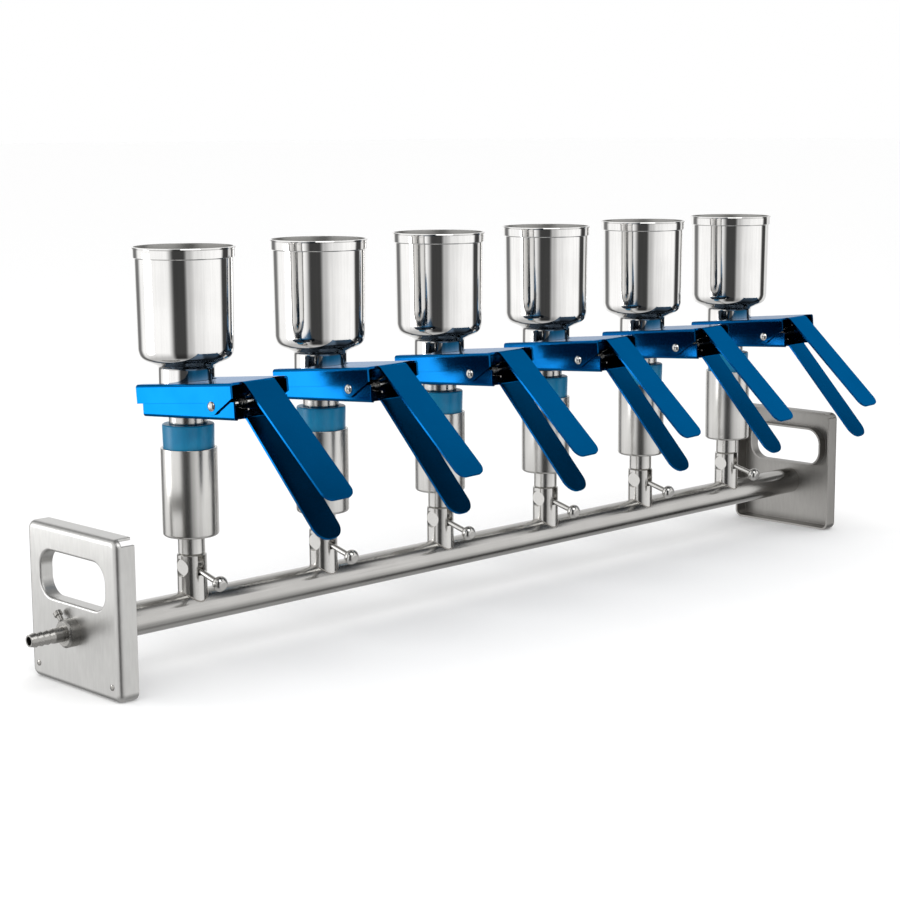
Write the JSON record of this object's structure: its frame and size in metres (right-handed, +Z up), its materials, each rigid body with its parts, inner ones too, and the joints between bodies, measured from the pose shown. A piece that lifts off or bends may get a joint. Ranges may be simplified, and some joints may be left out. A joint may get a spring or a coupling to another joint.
{
  "type": "vacuum filtration manifold",
  "caption": "Vacuum filtration manifold: a tube between two carrying plates, with a valve, post, filter base, spring clamp and steel funnel at each station.",
  "frame": {"origin": "middle of the foot of the left end plate, on the bench", "axes": "+Z up, +X along the manifold tube away from the hose barb, -Y towards the clamp handles"},
  "size_m": [0.9076, 0.212, 0.315],
  "materials": {
    "satin_steel": "satin",
    "polished_steel": "polished",
    "clamp_blue": "blue anodised",
    "stopper_teal": "matte",
    "gasket_white": "matte"
  },
  "bodies": {
    "manifold": {"manifold_tube": "satin_steel", "left_end_plate": "satin_steel", "right_end_plate": "satin_steel", "tube_end_plugs": "satin_steel", "outlet_collar": "polished_steel", "hose_barb": "polished_steel", "end_bolt": "polished_steel", "stoppers": "stopper_teal", "support_screens": "polished_steel", "funnel_gaskets": "gasket_white", "clamp_pins": "polished_steel", "clamp_springs": "polished_steel", "valve_body_1": "satin_steel", "post_1": "polished_steel", "filter_base_1": "polished_steel", "funnel_1": "polished_steel", "valve_body_2": "satin_steel", "post_2": "polished_steel", "filter_base_2": "polished_steel", "funnel_2": "polished_steel", "valve_body_3": "satin_steel", "post_3": "polished_steel", "filter_base_3": "polished_steel", "funnel_3": "polished_steel", "valve_body_4": "satin_steel", "post_4": "polished_steel", "filter_base_4": "polished_steel", "funnel_4": "polished_steel", "valve_body_5": "satin_steel", "post_5": "polished_steel", "filter_base_5": "polished_steel", "funnel_5": "polished_steel", "valve_body_6": "satin_steel", "post_6": "polished_steel", "filter_base_6": "polished_steel", "funnel_6": "polished_steel"},
    "valve_1": {"valve_plug_1": "polished_steel", "valve_lever_1": "polished_steel"},
    "upper_jaw_1": {"clamp_upper_jaw_1": "clamp_blue"},
    "lower_jaw_1": {"clamp_lower_jaw_1": "clamp_blue"},
    "valve_2": {"valve_plug_2": "polished_steel", "valve_lever_2": "polished_steel"},
    "upper_jaw_2": {"clamp_upper_jaw_2": "clamp_blue"},
    "lower_jaw_2": {"clamp_lower_jaw_2": "clamp_blue"},
    "valve_3": {"valve_plug_3": "polished_steel", "valve_lever_3": "polished_steel"},
    "upper_jaw_3": {"clamp_upper_jaw_3": "clamp_blue"},
    "lower_jaw_3": {"clamp_lower_jaw_3": "clamp_blue"},
    "valve_4": {"valve_plug_4": "polished_steel", "valve_lever_4": "polished_steel"},
    "upper_jaw_4": {"clamp_upper_jaw_4": "clamp_blue"},
    "lower_jaw_4": {"clamp_lower_jaw_4": "clamp_blue"},
    "valve_5": {"valve_plug_5": "polished_steel", "valve_lever_5": "polished_steel"},
    "upper_jaw_5": {"clamp_upper_jaw_5": "clamp_blue"},
    "lower_jaw_5": {"clamp_lower_jaw_5": "clamp_blue"},
    "valve_6": {"valve_plug_6": "polished_steel", "valve_lever_6": "polished_steel"},
    "upper_jaw_6": {"clamp_upper_jaw_6": "clamp_blue"},
    "lower_jaw_6": {"clamp_lower_jaw_6": "clamp_blue"}
  },
  "joints": [
    {"name": "valve_lever_turn_1", "type": "hinge", "parent": "manifold", "child": "valve_1", "pos_m": [0.099, 0, 0.0745], "axis": [-1, 0, 0], "range_deg": [0, 46]},
    {"name": "clamp_upper_squeeze_1", "type": "hinge", "parent": "manifold", "child": "upper_jaw_1", "pos_m": [0.10536, -0.05577, 0.2039], "axis": [0.9936, 0.1132, 0], "range_deg": [0, 6], "stiffness_Nm_per_rad": 3, "springref_deg": -11.46},
    {"name": "clamp_lower_squeeze_1", "type": "hinge", "parent": "manifold", "child": "lower_jaw_1", "pos_m": [0.10536, -0.05577, 0.2039], "axis": [0.9936, 0.1132, 0], "range_deg": [-6, 0], "stiffness_Nm_per_rad": 3, "springref_deg": 11.46},
    {"name": "valve_lever_turn_2", "type": "hinge", "parent": "manifold", "child": "valve_2", "pos_m": [0.229, 0, 0.0745], "axis": [-1, 0, 0], "range_deg": [0, 46]},
    {"name": "clamp_upper_squeeze_2", "type": "hinge", "parent": "manifold", "child": "upper_jaw_2", "pos_m": [0.23536, -0.05577, 0.2039], "axis": [0.9936, 0.1132, 0], "range_deg": [0, 6], "stiffness_Nm_per_rad": 3, "springref_deg": -11.46},
    {"name": "clamp_lower_squeeze_2", "type": "hinge", "parent": "manifold", "child": "lower_jaw_2", "pos_m": [0.23536, -0.05577, 0.2039], "axis": [0.9936, 0.1132, 0], "range_deg": [-6, 0], "stiffness_Nm_per_rad": 3, "springref_deg": 11.46},
    {"name": "valve_lever_turn_3", "type": "hinge", "parent": "manifold", "child": "valve_3", "pos_m": [0.359, 0, 0.0745], "axis": [-1, 0, 0], "range_deg": [0, 46]},
    {"name": "clamp_upper_squeeze_3", "type": "hinge", "parent": "manifold", "child": "upper_jaw_3", "pos_m": [0.36535, -0.05577, 0.2039], "axis": [0.9936, 0.1132, 0], "range_deg": [0, 6], "stiffness_Nm_per_rad": 3, "springref_deg": -11.46},
    {"name": "clamp_lower_squeeze_3", "type": "hinge", "parent": "manifold", "child": "lower_jaw_3", "pos_m": [0.36535, -0.05577, 0.2039], "axis": [0.9936, 0.1132, 0], "range_deg": [-6, 0], "stiffness_Nm_per_rad": 3, "springref_deg": 11.46},
    {"name": "valve_lever_turn_4", "type": "hinge", "parent": "manifold", "child": "valve_4", "pos_m": [0.489, 0, 0.0745], "axis": [-1, 0, 0], "range_deg": [0, 46]},
    {"name": "clamp_upper_squeeze_4", "type": "hinge", "parent": "manifold", "child": "upper_jaw_4", "pos_m": [0.49535, -0.05577, 0.2039], "axis": [0.9936, 0.1132, 0], "range_deg": [0, 6], "stiffness_Nm_per_rad": 3, "springref_deg": -11.46},
    {"name": "clamp_lower_squeeze_4", "type": "hinge", "parent": "manifold", "child": "lower_jaw_4", "pos_m": [0.49535, -0.05577, 0.2039], "axis": [0.9936, 0.1132, 0], "range_deg": [-6, 0], "stiffness_Nm_per_rad": 3, "springref_deg": 11.46},
    {"name": "valve_lever_turn_5", "type": "hinge", "parent": "manifold", "child": "valve_5", "pos_m": [0.619, 0, 0.0745], "axis": [-1, 0, 0], "range_deg": [0, 46]},
    {"name": "clamp_upper_squeeze_5", "type": "hinge", "parent": "manifold", "child": "upper_jaw_5", "pos_m": [0.62535, -0.05577, 0.2039], "axis": [0.9936, 0.1132, 0], "range_deg": [0, 6], "stiffness_Nm_per_rad": 3, "springref_deg": -11.46},
    {"name": "clamp_lower_squeeze_5", "type": "hinge", "parent": "manifold", "child": "lower_jaw_5", "pos_m": [0.62535, -0.05577, 0.2039], "axis": [0.9936, 0.1132, 0], "range_deg": [-6, 0], "stiffness_Nm_per_rad": 3, "springref_deg": 11.46},
    {"name": "valve_lever_turn_6", "type": "hinge", "parent": "manifold", "child": "valve_6", "pos_m": [0.749, 0, 0.0745], "axis": [-1, 0, 0], "range_deg": [0, 46]},
    {"name": "clamp_upper_squeeze_6", "type": "hinge", "parent": "manifold", "child": "upper_jaw_6", "pos_m": [0.75535, -0.05577, 0.2039], "axis": [0.9936, 0.1132, 0], "range_deg": [0, 6], "stiffness_Nm_per_rad": 3, "springref_deg": -11.46},
    {"name": "clamp_lower_squeeze_6", "type": "hinge", "parent": "manifold", "child": "lower_jaw_6", "pos_m": [0.75535, -0.05577, 0.2039], "axis": [0.9936, 0.1132, 0], "range_deg": [-6, 0], "stiffness_Nm_per_rad": 3, "springref_deg": 11.46}
  ],
  "couplings": [
    {"joint": "clamp_lower_squeeze_1", "follows": "clamp_upper_squeeze_1", "ratio": -1},
    {"joint": "clamp_lower_squeeze_2", "follows": "clamp_upper_squeeze_2", "ratio": -1},
    {"joint": "clamp_lower_squeeze_3", "follows": "clamp_upper_squeeze_3", "ratio": -1},
    {"joint": "clamp_lower_squeeze_4", "follows": "clamp_upper_squeeze_4", "ratio": -1},
    {"joint": "clamp_lower_squeeze_5", "follows": "clamp_upper_squeeze_5", "ratio": -1},
    {"joint": "clamp_lower_squeeze_6", "follows": "clamp_upper_squeeze_6", "ratio": -1}
  ]
}
